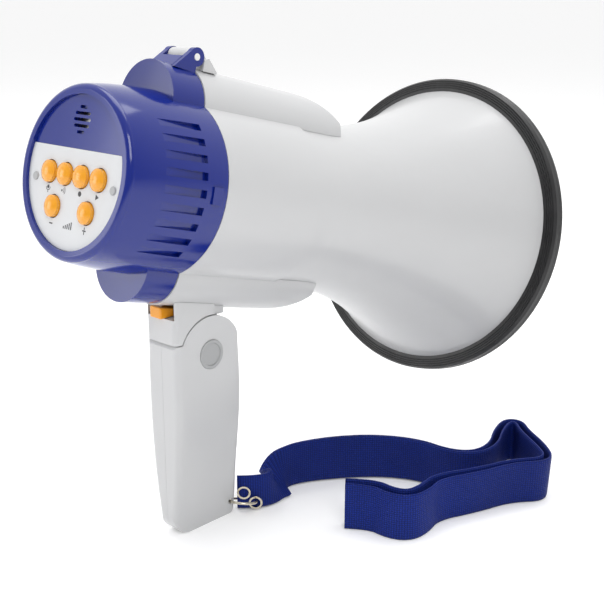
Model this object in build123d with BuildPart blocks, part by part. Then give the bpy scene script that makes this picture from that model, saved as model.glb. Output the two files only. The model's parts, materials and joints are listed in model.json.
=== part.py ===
"""Handheld megaphone with a folding pistol grip, a hinged rear cap and a wrist strap.

Frame: +Z up, the mouth of the horn towards -Y, origin on the ground under the middle of the
object's box, so the foot of the grip is at z = 0. The head is pitched down towards its mouth.
Every head piece is placed by its distance along the head axis, measured forward from the
rear face, and by its rise above that axis. Lengths are millimetres, angles degrees.
"""

import os
from math import cos, pi, radians, sin, sqrt, tan

from build123d import *

os.makedirs("parts", exist_ok=True)

# ---------------------------------------------------------------- driving dimensions
head_pitch = 13.8           # how far the horn points below the horizontal
axis_height = 172.5         # rear face centre above the ground
axis_length = 244.0         # rear face to the front of the rim
mouth_radius = 80.0         # outside of the rubber rim

wall = 2.2                  # moulded housing wall
fit_gap = 0.1               # one fixed piece seated in another
joint_gap = 0.3             # between pieces that move past each other
pin_gap = 0.05              # radial clearance of a running pin

# rear cap
bezel_radius = 35.0
cap_front_radius = 38.5
cap_length = 47.5           # rear face to the parting line with the housing
cap_wall = 2.4
bezel_round = 2.6
recess_radius = 30.6        # seat of the two face plates
recess_depth = 2.6
floor_thick = 2.0
plate_thick = 1.2
division_rise = 9.4         # line between the two face plates
bump_start = 30.5           # rear face of the battery bumps
bump_radius = 17.2
bump_offset = 32.8
slot_count = 9              # grip slots on each side
slot_step = 10.4            # angle between slots
slot_width = 3.2
slot_depth = 1.8
slot_start = 16.0
slot_end = 36.5
latch_pad = (5.0, 7.0, 0.5)   # raised pad over the cap's snap: along, across, height
latch_station = 42.0

# housing and horn
barrel_rear_radius = 38.5
barrel_front_radius = 39.2
horn_joint = 105.0          # seam between the housing and the horn
ridge_radius = 17.5
ridge_offset = 33.0
ridge_shoulder = 109.0
ridge_end = 133.8
ridge_end_rise = 40.6
throat_radius = 38.2
flare_start = 118.0
horn_wall = 2.0
spigot_length = 8.0
rim_depth = 7.5             # rubber rim, front to back
rim_width = 6.3             # rubber rim, across the band seen from behind
rim_groove = 0.5
rim_chamfer = 1.2
lip_thick = 2.2

# batteries, C size
cell_radius = 13.05
cell_length = 48.8
cell_gap = 0.1
nub_radius = 3.3
nub_length = 1.5
cell_start = 33.5
cell_offset = 25.0
tube_bore = 13.5
tube_wall = 1.0
contact_thick = 0.4

# loudspeaker
basket_front = 150.0
basket_depth = 13.0
basket_radius = 37.0
magnet_radius = 10.6
magnet_depth = 14.0
bullet_radius = 11.0
bullet_length = 26.0
spoke_count = 4

# cap hinge
hinge_station = 47.0
hinge_rise = 54.2
hinge_pin_radius = 1.5
ear_radius = 3.9
ear_inner = 6.2
ear_thick = 2.4
lug_radius = 3.6

# face controls: distance to the user's left of centre is +X
button_radius = 4.4
button_dome = 1.5
button_stand = 1.4          # how far the dome's edge stands proud of the plate
button_travel = 0.8
button_hole_gap = 0.35
button_flange = 0.8
top_row_rise = -1.0
top_row = (16.0, 5.5, -5.0, -16.0)
volume_rise = -14.4
volume_row = (11.0, -11.0)
mic_rise = 20.8
mic_radius = 5.5
mic_slot_height = 1.25
mic_slot_step = 2.45
face_screw_x = 25.2
face_screw_rise = -3.9
face_screw_radius = 1.7
board_station = 11.0
board_thick = 1.6
board_radius = 28.0
post_places = ((20.5, 13.0), (-20.5, 13.0), (0.0, -24.5))
post_radius = 2.6

# grip
grip_setback = 40.8         # rear face of the grip, forward of the rear face centre
pivot_setback = 60.8
pivot_height = 85.2
grip_half_width = 10.5
neck_half_width = 9.8
grip_head_radius = 17.6
grip_front_bulge = 18.4     # grip's front line forward of the pivot, at the palm
neck_bottom = 93.2          # height of the neck's lower edge
neck_front_setback = 63.6
tongue_front_setback = 70.6
tongue_half_width = 4.5
tongue_radius = 13.0
pivot_pin_radius = 3.0
pivot_cap_radius = 6.7
pivot_cap_thick = 1.6
shell_wall = 2.2
foot_round = 12.0
lanyard_hole_height = 5.6
lanyard_hole_inset = 2.4    # tunnel through the front corner of the foot
lanyard_hole_radius = 1.35

# screws that hold the neck to the housing, driven from inside the lower ridge
neck_screw_station = 68.0
neck_screw_x = 7.3
screw_pad_rise = -44.6

# talk trigger
trigger_width = 7.2
trigger_height = 6.2
trigger_stand = 2.7         # how far it stands behind the neck's rear face
trigger_travel = 2.0
notch_depth = 4.4
notch_half_width = 8.8
notch_bottom = 104.6

# wrist strap: a loop of webbing that lies double, standing on its edge
strap_width = 22.0
strap_thick = 3.2
ring_radius = 6.6
ring_wire = 0.65
eyelet_radius = 3.3
eyelet_bore = 2.4
eyelet_bend = 5.0           # bend beside the eyelets, kept short so that they sit on flat webbing
eyelet_flange = 0.5

# ---------------------------------------------------------------- frame of the head
pitch = radians(head_pitch)
front_reach = axis_length * cos(pitch) + (mouth_radius - rim_chamfer) * sin(pitch)
rear_reach = (bezel_radius - bezel_round) * sin(pitch) + bezel_round * (1 - cos(pitch))
head_y = (front_reach - rear_reach) / 2
head_forward = Vector(0, -cos(pitch), -sin(pitch))
head_rise = Vector(0, -sin(pitch), cos(pitch))
head_origin = Vector(0, head_y, axis_height)
head_axis = Axis(head_origin, head_forward)
head_side = Plane(origin=head_origin, x_dir=head_forward, z_dir=(-1, 0, 0))


def station(distance):
    """Plane across the head axis: local x is +X, local y rises from the axis."""
    return Plane(origin=head_origin + head_forward * distance, x_dir=(1, 0, 0), z_dir=head_forward)


def head_point(distance, rise, x=0.0):
    """Row position of a point given along the head axis."""
    return head_origin + head_forward * distance + head_rise * rise + Vector(x, 0, 0)


def pair(offset):
    """The upper and the lower place of a pair of battery pieces."""
    return Locations((0, offset), (0, -offset))


# ---------------------------------------------------------------- horn outline, shared
horn_end = axis_length - 3.0
lip_radius = mouth_radius - rim_width + 1.6
flare_mid = (flare_start + horn_end) / 2


def horn_solid(gap=0.0, first=horn_joint, inner=0.0):
    """Solid of revolution of the horn's outside, grown by gap or thinned by inner."""
    tail = throat_radius + gap - inner
    lip = lip_radius + gap - inner * 1.15
    with BuildPart() as form:
        with BuildSketch(head_side):
            with BuildLine():
                Polyline((first, 0), (first, tail), (flare_start, tail))
                Bezier((flare_start, tail), (flare_mid, tail), (horn_end, lip))
                Polyline((horn_end, lip), (horn_end, 0), (first, 0))
            make_face()
        revolve(axis=head_axis)
    return form.part


horn_outside = horn_solid()
horn_inside = horn_solid(inner=horn_wall, first=horn_joint - spigot_length - 1)
horn_clear = horn_solid(gap=fit_gap)

# ================================================================ head: housing and horn
tube_outer = tube_bore + tube_wall
tube_end = cell_start + 2 * (cell_length + cell_gap) + contact_thick + tube_wall
void_radius = tube_outer + 0.3
ridge_top = ridge_offset + ridge_radius

with BuildPart() as ridge_form:
    with BuildSketch(station(cap_length)):
        with pair(ridge_offset):
            Circle(ridge_radius)
        Rectangle(2 * ridge_radius, 2 * ridge_offset)
    extrude(amount=ridge_end - cap_length)
    with BuildSketch(head_side):
        with BuildLine():
            Polyline((ridge_shoulder, ridge_top), (cap_length - 1, ridge_top), (cap_length - 1, 0))
            Polyline((cap_length - 1, 0), (ridge_end, 0), (ridge_end, ridge_end_rise))
            TangentArc((ridge_shoulder, ridge_top), (ridge_end, ridge_end_rise), tangent=(1, 0))
        make_face()
        mirror(about=Plane.XZ)
    extrude(amount=ridge_radius + 1, both=True, mode=Mode.INTERSECT)

with BuildPart() as rear_housing:
    with BuildSketch(station(cap_length)):
        Circle(barrel_rear_radius)
    with BuildSketch(station(horn_joint)):
        Circle(barrel_front_radius)
    loft()
    add(ridge_form.part)
    # the ridges run on over the horn as two fingers, so the horn's own space is taken out
    with BuildSketch(station(horn_joint)):
        Circle(throat_radius + fit_gap)
    extrude(amount=ridge_end - horn_joint + 1, mode=Mode.SUBTRACT)
    add(horn_clear, mode=Mode.SUBTRACT)
    # hollow barrel
    with BuildSketch(station(cap_length - 1)):
        Circle(barrel_rear_radius - wall)
    with BuildSketch(station(horn_joint + 1)):
        Circle(barrel_front_radius - wall)
    loft(mode=Mode.SUBTRACT)
    # hollow ridges, and deeper pockets for the battery tubes
    with BuildSketch(station(cap_length - 1)):
        with pair(ridge_offset):
            Circle(ridge_radius - wall)
    extrude(amount=ridge_shoulder - cap_length - 3, mode=Mode.SUBTRACT)
    with BuildSketch(station(cap_length - 1)):
        with pair(cell_offset):
            Circle(void_radius)
    extrude(amount=tube_end + 0.3 - cap_length + 1, mode=Mode.SUBTRACT)
    # pads for the two screws that hold the grip neck
    for x in (neck_screw_x, -neck_screw_x):
        down = Plane(origin=head_point(neck_screw_station, screw_pad_rise, x),
                     x_dir=(1, 0, 0), z_dir=head_rise * -1)
        with BuildSketch(down):
            Circle(3.0)
        extrude(amount=2.6)
        with BuildSketch(down):
            Circle(1.3)
        extrude(amount=8, mode=Mode.SUBTRACT)
    # hinge lug between the cap's ears, on a block that stands on the upper ridge
    with BuildSketch(head_side):
        with Locations((hinge_station, hinge_rise)):
            Circle(lug_radius)
        with BuildLine():
            Polyline(
                (hinge_station, hinge_rise + lug_radius),
                (cap_length + 5.5, hinge_rise + 1.6),
                (cap_length + 12, ridge_top - 0.6),
                (cap_length + 12, ridge_top - 1.2),
                (cap_length + 0.2, ridge_top - 1.2),
                (cap_length + 0.2, hinge_rise - lug_radius),
                (hinge_station, hinge_rise - lug_radius),
                close=True,
            )
        make_face()
    extrude(amount=ear_inner - joint_gap, both=True)
    with BuildSketch(head_side):
        with BuildLine():
            Polyline(
                (hinge_station + ear_radius + 0.7, ridge_top - 1.2),
                (hinge_station + ear_radius + 0.7, hinge_rise - 0.5),
                (cap_length + 6.5, hinge_rise + 0.6),
                (cap_length + 12, ridge_top - 0.6),
                (cap_length + 12, ridge_top - 1.2),
                close=True,
            )
        make_face()
    extrude(amount=ear_inner + ear_thick - 0.4, both=True)
    with BuildSketch(Plane.YZ):
        pin_centre = head_point(hinge_station, hinge_rise)
        with Locations((pin_centre.Y, pin_centre.Z)):
            Circle(hinge_pin_radius + fit_gap / 2)
    extrude(amount=ear_inner + 1, both=True, mode=Mode.SUBTRACT)
rear_housing.part.label = "rear_housing"
export_step(rear_housing.part, "parts/rear_housing.step")

with BuildPart() as horn_bell:
    add(horn_outside)
    with BuildSketch(station(horn_joint - spigot_length)):
        Circle(barrel_front_radius - wall - fit_gap - 0.1)
    extrude(amount=spigot_length)
    add(horn_inside, mode=Mode.SUBTRACT)
    # the tail opens up where the battery tubes pass above and below
    with BuildSketch(station(horn_joint - spigot_length - 1)):
        with pair(cell_offset):
            Circle(void_radius)
        Circle(throat_radius - horn_wall - 1.4)
    extrude(amount=spigot_length + 1, mode=Mode.SUBTRACT)
    with BuildSketch(station(horn_joint - 1)):
        with pair(cell_offset):
            Circle(void_radius)
    extrude(amount=tube_end + 0.3 - horn_joint + 1, mode=Mode.SUBTRACT)
    # ledge that carries the loudspeaker
    seat = basket_front - 1.6
    with BuildSketch(head_side):
        with BuildLine():
            Polyline(
                (seat, basket_radius - 3.4),
                (seat, basket_radius + 2.2),
                (seat - 3, basket_radius + 2.0),
                (seat - 3, basket_radius - 2.0),
                close=True,
            )
        make_face()
    revolve(axis=head_axis)
horn_bell.part.label = "horn_bell"
export_step(horn_bell.part, "parts/horn_bell.step")

rim_rear = axis_length - rim_depth
with BuildPart() as rim_ring:
    with BuildSketch(head_side):
        with BuildLine():
            Polyline(
                (axis_length, mouth_radius - rim_chamfer),
                (axis_length, mouth_radius - rim_width - 1.2),
                (rim_rear, mouth_radius - rim_width - 1.2),
                (rim_rear, mouth_radius - 1.4),
                (rim_rear + 1.4, mouth_radius - 0.3),
                (axis_length - 3.0, mouth_radius),
                (axis_length - rim_chamfer, mouth_radius),
                close=True,
            )
        make_face()
    revolve(axis=head_axis)
    add(horn_clear, mode=Mode.SUBTRACT)
    with BuildSketch(head_side):
        for step in range(4):
            with Locations((rim_rear, mouth_radius - rim_width + 1.1 + step * 1.15)):
                Circle(rim_groove * 0.7)
        for step in range(3):
            with Locations((axis_length - 2.0 - step * 1.3, mouth_radius + 0.15)):
                Circle(rim_groove * 0.7)
    revolve(axis=head_axis, mode=Mode.SUBTRACT)
rim_ring.part.label = "rim_ring"
export_step(rim_ring.part, "parts/rim_ring.step")

# ================================================================ head: loudspeaker
basket_rear = basket_front - basket_depth
with BuildPart() as speaker_basket:
    with BuildSketch(head_side):
        with BuildLine():
            Polyline(
                (basket_front, basket_radius),
                (basket_front, basket_radius - 5),
                (basket_rear + 1.2, magnet_radius - 2),
                (basket_rear + 1.2, 0),
                (basket_rear, 0),
                (basket_rear, magnet_radius),
                (basket_front - 1.6, basket_radius - 3.6),
                (basket_front - 1.6, basket_radius),
                close=True,
            )
        make_face()
    revolve(axis=head_axis)
speaker_basket.part.label = "speaker_basket"
export_step(speaker_basket.part, "parts/speaker_basket.step")

with BuildPart() as speaker_magnet:
    with BuildSketch(station(basket_rear)):
        Circle(magnet_radius - 0.6)
    extrude(amount=-magnet_depth)
    fillet(speaker_magnet.edges().filter_by(GeomType.CIRCLE), 0.8)
speaker_magnet.part.label = "speaker_magnet"
export_step(speaker_magnet.part, "parts/speaker_magnet.step")

cap_rear = basket_rear + 4.2
dust_cap = 7.0
with BuildPart() as speaker_cone:
    with BuildSketch(head_side):
        with BuildLine():
            Polyline(
                (basket_front + 0.6, basket_radius - 1.5),
                (basket_front, basket_radius - 1.5),
                (basket_front, basket_radius - 5.6),
                (cap_rear, dust_cap),
                (cap_rear + 4.0, 0),
                (cap_rear + 4.6, 0),
                (cap_rear + 0.6, dust_cap + 0.4),
                (basket_front + 0.6, basket_radius - 5.4),
                close=True,
            )
        make_face()
    revolve(axis=head_axis)
speaker_cone.part.label = "speaker_cone"
export_step(speaker_cone.part, "parts/speaker_cone.step")

# the retaining ring and phase bullet that show deep in the mouth
ring_front = basket_front + 4.0
horn_bore = throat_radius - horn_wall
ring_bore = basket_radius - 4.0
with BuildPart() as speaker_grille:
    with BuildSketch(head_side):
        with BuildLine():
            Polyline(
                (basket_front + 0.6, basket_radius + 1.2),
                (basket_front + 0.6, ring_bore),
                (ring_front, ring_bore),
                (ring_front, basket_radius + 1.2),
                close=True,
            )
        make_face()
    revolve(axis=head_axis)
    with BuildSketch(head_side):
        with BuildLine():
            Polyline((basket_front + 1.2, 0), (basket_front + 1.2, bullet_radius))
            Spline(
                (basket_front + 1.2, bullet_radius),
                (basket_front + bullet_length * 0.55, bullet_radius * 0.72),
                (basket_front + bullet_length, 0),
                tangents=((1, 0), (0, -1)),
            )
            Polyline((basket_front + bullet_length, 0), (basket_front + 1.2, 0))
        make_face()
    revolve(axis=head_axis)
    with BuildSketch(station(basket_front + 1.2)):
        with PolarLocations(0, spoke_count, start_angle=45):
            Rectangle(ring_bore + 1, 2.0, align=(Align.MIN, Align.CENTER))
    extrude(amount=2.4)
speaker_grille.part.label = "speaker_grille"
export_step(speaker_grille.part, "parts/speaker_grille.step")

with BuildPart() as speaker_screws:
    with BuildSketch(station(ring_front)):
        with PolarLocations(basket_radius - 1.4, spoke_count):
            Circle(2.0)
    extrude(amount=1.2)
    fillet(speaker_screws.edges().group_by(Axis(head_origin, head_forward))[-1], 0.5)
speaker_screws.part.label = "speaker_screws"
export_step(speaker_screws.part, "parts/speaker_screws.step")

# ================================================================ head: batteries
for name, side in (("upper", 1), ("lower", -1)):
    with BuildPart() as battery_tube:
        with BuildSketch(station(cap_length + 0.5)):
            with Locations((0, side * cell_offset)):
                Circle(tube_outer)
        extrude(amount=tube_end - cap_length - 0.5)
        with BuildSketch(station(cap_length)):
            with Locations((0, side * cell_offset)):
                Circle(tube_bore)
        extrude(amount=tube_end - tube_wall - cap_length, mode=Mode.SUBTRACT)
    battery_tube.part.label = f"battery_tube_{name}"
    export_step(battery_tube.part, f"parts/battery_tube_{name}.step")

cell_body = cell_length - nub_length
with BuildPart() as battery_cells:
    for count in range(2):
        with BuildSketch(station(cell_start + count * (cell_length + cell_gap))):
            with pair(cell_offset):
                Circle(cell_radius)
        extrude(amount=cell_body)
        with BuildSketch(station(cell_start + cell_body + count * (cell_length + cell_gap))):
            with pair(cell_offset):
                Circle(nub_radius)
        extrude(amount=nub_length)
battery_cells.part.label = "battery_cells"
export_step(battery_cells.part, "parts/battery_cells.step")

with BuildPart() as front_contacts:
    with BuildSketch(station(tube_end - tube_wall - contact_thick)):
        with pair(cell_offset):
            Circle(tube_bore - 1.5)
    extrude(amount=contact_thick)
front_contacts.part.label = "front_contacts"
export_step(front_contacts.part, "parts/front_contacts.step")

# ================================================================ head: hinge pin
pin_centre = head_point(hinge_station, hinge_rise)
hinge_pin_half = ear_inner + ear_thick + 0.3
with BuildPart() as hinge_pin:
    with BuildSketch(Plane.YZ.offset(-hinge_pin_half)):
        with Locations((pin_centre.Y, pin_centre.Z)):
            Circle(hinge_pin_radius)
    extrude(amount=2 * hinge_pin_half)
    fillet(hinge_pin.edges().filter_by(GeomType.CIRCLE), 0.4)
hinge_pin.part.label = "hinge_pin"
export_step(hinge_pin.part, "parts/hinge_pin.step")

# ================================================================ rear cap
with BuildPart() as slot_cutter:
    with BuildSketch(head_side):
        with BuildLine():
            Polyline(
                (slot_start, bezel_radius + 1.8),
                (slot_end, cap_front_radius - 0.2 - slot_depth),
                (slot_end, cap_front_radius + 2),
                (slot_start, cap_front_radius + 2),
                close=True,
            )
        make_face()
    extrude(amount=slot_width / 2, both=True)
slot_form = slot_cutter.part


def cap_outline(inset):
    """Flared side of the cap, drawn from the rear edge to the parting line."""
    rear = bezel_radius - inset
    Bezier(
        (bezel_round, rear),
        (bezel_round + 12, cap_front_radius - 0.7 - inset),
        (cap_length - joint_gap, cap_front_radius - inset),
    )


cap_floor = recess_depth + floor_thick
cap_front = cap_length - joint_gap
with BuildPart() as rear_cap:
    with BuildSketch(head_side):
        with BuildLine():
            Line((0, 0), (0, bezel_radius - bezel_round))
            ThreePointArc(
                (0, bezel_radius - bezel_round),
                (bezel_round * 0.32, bezel_radius - bezel_round * 0.27),
                (bezel_round, bezel_radius),
            )
            cap_outline(0)
            Polyline((cap_front, cap_front_radius), (cap_front, 0), (0, 0))
        make_face()
    revolve(axis=head_axis)
    with BuildSketch(station(bump_start)):
        with pair(bump_offset):
            Circle(bump_radius)
    extrude(amount=cap_front - bump_start)
    for side in (90, -90):
        for count in range(slot_count):
            turn = side + (count - (slot_count - 1) / 2) * slot_step
            add(slot_form.rotate(head_axis, turn), mode=Mode.SUBTRACT)
    for side in (1, -1):
        with BuildSketch(Plane(origin=head_point(latch_station, 0), x_dir=head_forward,
                               z_dir=(side, 0, 0))):
            Rectangle(latch_pad[0], latch_pad[1])
        extrude(amount=cap_front_radius + latch_pad[2])
    # hollow, left open at the front
    with BuildSketch(head_side):
        with BuildLine():
            Polyline((cap_floor, 0), (cap_floor, bezel_radius - cap_wall))
            Bezier(
                (cap_floor, bezel_radius - cap_wall),
                (cap_floor + 11, cap_front_radius - 0.7 - cap_wall),
                (cap_front + 1, cap_front_radius - cap_wall),
            )
            Polyline((cap_front + 1, cap_front_radius - cap_wall), (cap_front + 1, 0), (cap_floor, 0))
        make_face()
    revolve(axis=head_axis, mode=Mode.SUBTRACT)
    with BuildSketch(station(bump_start + 1.6)):
        with pair(bump_offset):
            Circle(bump_radius - 2.0)
    extrude(amount=cap_front - bump_start, mode=Mode.SUBTRACT)
    # seat of the face plates, and the openings behind them
    with BuildSketch(station(-1)):
        Circle(recess_radius)
    extrude(amount=recess_depth + 1, mode=Mode.SUBTRACT)
    with BuildSketch(station(recess_depth - 1)):
        with Locations(*((x, top_row_rise) for x in top_row)):
            Circle(button_radius + button_hole_gap)
        with Locations(*((x, volume_rise) for x in volume_row)):
            Circle(button_radius + button_hole_gap)
        with Locations((0, mic_rise)):
            Circle(mic_radius - 0.8)
        with Locations((face_screw_x, face_screw_rise), (-face_screw_x, face_screw_rise)):
            Circle(0.9)
    extrude(amount=floor_thick + 2, mode=Mode.SUBTRACT)
    # posts for the circuit board
    with BuildSketch(station(cap_floor)):
        with Locations(*post_places):
            Circle(post_radius)
    extrude(amount=board_station - cap_floor)
    with BuildSketch(station(cap_floor + 1)):
        with Locations(*post_places):
            Circle(0.95)
    extrude(amount=board_station - cap_floor, mode=Mode.SUBTRACT)
    # hinge ears and the saddle that joins them behind the pin
    for side in (1, -1):
        with BuildSketch(Plane(origin=head_origin + Vector(side * (ear_inner + ear_thick / 2), 0, 0),
                               x_dir=head_forward, z_dir=(-1, 0, 0))):
            with Locations((hinge_station, hinge_rise)):
                Circle(ear_radius)
            with BuildLine():
                Polyline(
                    (hinge_station - 11.5, bump_offset + bump_radius - 1.6),
                    (hinge_station - 3.4, hinge_rise + 1.9),
                    (hinge_station, hinge_rise),
                    (cap_front, hinge_rise - 2),
                    (cap_front, bump_offset + bump_radius - 2.4),
                    close=True,
                )
            make_face()
        extrude(amount=ear_thick / 2, both=True)
    with BuildSketch(head_side):
        with BuildLine():
            Polyline(
                (hinge_station - 11.0, bump_offset + bump_radius - 1.0),
                (hinge_station - 6.2, hinge_rise - 0.6),
                (hinge_station - 4.2, hinge_rise - 0.2),
                (hinge_station - 4.2, bump_offset + bump_radius - 1.0),
                close=True,
            )
        make_face()
    extrude(amount=ear_inner + 0.5, both=True)
    with BuildSketch(Plane.YZ):
        with Locations((pin_centre.Y, pin_centre.Z)):
            Circle(hinge_pin_radius + pin_gap)
    extrude(amount=ear_inner + ear_thick + 2, both=True, mode=Mode.SUBTRACT)
rear_cap.part.label = "rear_cap"
export_step(rear_cap.part, "parts/rear_cap.step")

plate_front = recess_depth - plate_thick
plate_radius = recess_radius - fit_gap
with BuildPart() as mic_plate:
    with BuildSketch(station(plate_front)):
        Circle(plate_radius)
        with Locations((0, division_rise + fit_gap)):
            Rectangle(3 * plate_radius, 2 * plate_radius, align=(Align.CENTER, Align.MIN),
                      mode=Mode.INTERSECT)
    extrude(amount=plate_thick)
    with BuildSketch(station(plate_front - 1)):
        for count in range(-2, 3):
            rise = count * mic_slot_step
            half = sqrt(mic_radius**2 - rise**2) - 0.2
            with Locations((0, mic_rise + rise)):
                SlotOverall(2 * half, mic_slot_height)
    extrude(amount=plate_thick + 2, mode=Mode.SUBTRACT)
mic_plate.part.label = "mic_plate"
export_step(mic_plate.part, "parts/mic_plate.step")

with BuildPart() as control_plate:
    with BuildSketch(station(plate_front)):
        Circle(plate_radius)
        with Locations((0, division_rise)):
            Rectangle(3 * plate_radius, 2 * plate_radius, align=(Align.CENTER, Align.MAX),
                      mode=Mode.INTERSECT)
        with Locations(*((x, top_row_rise) for x in top_row)):
            Circle(button_radius + button_hole_gap, mode=Mode.SUBTRACT)
        with Locations(*((x, volume_rise) for x in volume_row)):
            Circle(button_radius + button_hole_gap, mode=Mode.SUBTRACT)
        with Locations((face_screw_x, face_screw_rise), (-face_screw_x, face_screw_rise)):
            Circle(1.1, mode=Mode.SUBTRACT)
    extrude(amount=plate_thick)
control_plate.part.label = "control_plate"
export_step(control_plate.part, "parts/control_plate.step")

with BuildPart() as face_screws:
    with BuildSketch(station(plate_front)):
        with Locations((face_screw_x, face_screw_rise), (-face_screw_x, face_screw_rise)):
            Circle(face_screw_radius)
    extrude(amount=-0.6)
    fillet(face_screws.edges().group_by(head_axis)[0], 0.35)
    with BuildSketch(station(plate_front)):
        with Locations((face_screw_x, face_screw_rise), (-face_screw_x, face_screw_rise)):
            Circle(0.85)
    extrude(amount=plate_thick + floor_thick)
face_screws.part.label = "face_screws"
export_step(face_screws.part, "parts/face_screws.step")

button_names = ("talk_power", "siren", "record", "play", "volume_down", "volume_up")
button_places = [(x, top_row_rise) for x in top_row] + [(x, volume_rise) for x in volume_row]
button_front = plate_front - button_stand
flange_start = cap_floor + 0.15
for name, (x, rise) in zip(button_names, button_places):
    with BuildPart() as button:
        with BuildSketch(head_side) as dome:
            with BuildLine():
                Polyline(
                    (button_front - button_dome, 0),
                    (flange_start + button_flange, 0),
                    (flange_start + button_flange, button_radius + 0.6),
                    (flange_start, button_radius + 0.6),
                    (flange_start, button_radius),
                    (button_front, button_radius),
                )
                RadiusArc(
                    (button_front, button_radius), (button_front - button_dome, 0),
                    -(button_radius**2 + button_dome**2) / (2 * button_dome),
                )
            make_face()
        revolve(axis=head_axis)
        with BuildSketch(station(flange_start + button_flange)):
            Circle(1.5)
        extrude(amount=1.0)
    placed = button.part.moved(Location(head_rise * rise + Vector(x, 0, 0)))
    placed.label = f"button_{name}"
    export_step(placed, f"parts/button_{name}.step")

switch_front = flange_start + button_flange + 1.0 + button_travel + 0.3
with BuildPart() as circuit_board:
    with BuildSketch(station(board_station)):
        Circle(board_radius)
        with Locations(*post_places):
            Circle(1.1, mode=Mode.SUBTRACT)
    extrude(amount=board_thick)
circuit_board.part.label = "circuit_board"
export_step(circuit_board.part, "parts/circuit_board.step")

with BuildPart() as key_switches:
    with BuildSketch(station(switch_front + 0.6)):
        with Locations(*button_places):
            Rectangle(6, 6)
    extrude(amount=board_station - switch_front - 0.6)
    with BuildSketch(station(switch_front)):
        with Locations(*button_places):
            Circle(1.7)
    extrude(amount=0.6)
key_switches.part.label = "key_switches"
export_step(key_switches.part, "parts/key_switches.step")

with BuildPart() as board_screws:
    with BuildSketch(station(board_station + board_thick)):
        with Locations(*post_places):
            Circle(2.1)
    extrude(amount=1.3)
    with BuildSketch(station(board_station + board_thick)):
        with Locations(*post_places):
            Circle(0.85)
    extrude(amount=-5.0)
board_screws.part.label = "board_screws"
export_step(board_screws.part, "parts/board_screws.step")

with BuildPart() as mic_holder:
    with BuildSketch(station(cap_floor)):
        with Locations((0, mic_rise)):
            Circle(6.2)
            Circle(4.9, mode=Mode.SUBTRACT)
    extrude(amount=5.0)
mic_holder.part.label = "mic_holder"
export_step(mic_holder.part, "parts/mic_holder.step")

with BuildPart() as mic_capsule:
    with BuildSketch(station(cap_floor + 0.6)):
        with Locations((0, mic_rise)):
            Circle(4.85)
    extrude(amount=4.5)
mic_capsule.part.label = "mic_capsule"
export_step(mic_capsule.part, "parts/mic_capsule.step")

contact_start = bump_start + 1.6
with BuildPart() as rear_contacts:
    with BuildSketch(station(contact_start)):
        with pair(cell_offset):
            Circle(9.0)
    extrude(amount=contact_thick)
rear_contacts.part.label = "rear_contacts"
export_step(rear_contacts.part, "parts/rear_contacts.step")

with BuildPart() as contact_springs:
    with BuildSketch(station(contact_start + contact_thick)):
        with pair(cell_offset):
            Circle(6.0)
            Circle(4.9, mode=Mode.SUBTRACT)
    extrude(amount=0.55)
    with BuildSketch(station(contact_start + contact_thick + 0.55)):
        with pair(cell_offset):
            Circle(5.1)
            Circle(4.0, mode=Mode.SUBTRACT)
    extrude(amount=0.45)
contact_springs.part.label = "contact_springs"
export_step(contact_springs.part, "parts/contact_springs.step")

# ================================================================ grip neck, under the housing
def front_of(setback, height, x=0.0):
    """Row position of a point given by its distance in front of the rear face centre."""
    return Vector(x, head_y - setback, height)


def side_line(*points):
    """Closed outline in the YZ plane from (setback, height) points."""
    return Polyline(*((head_y - setback, height) for setback, height in points), close=True)


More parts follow.
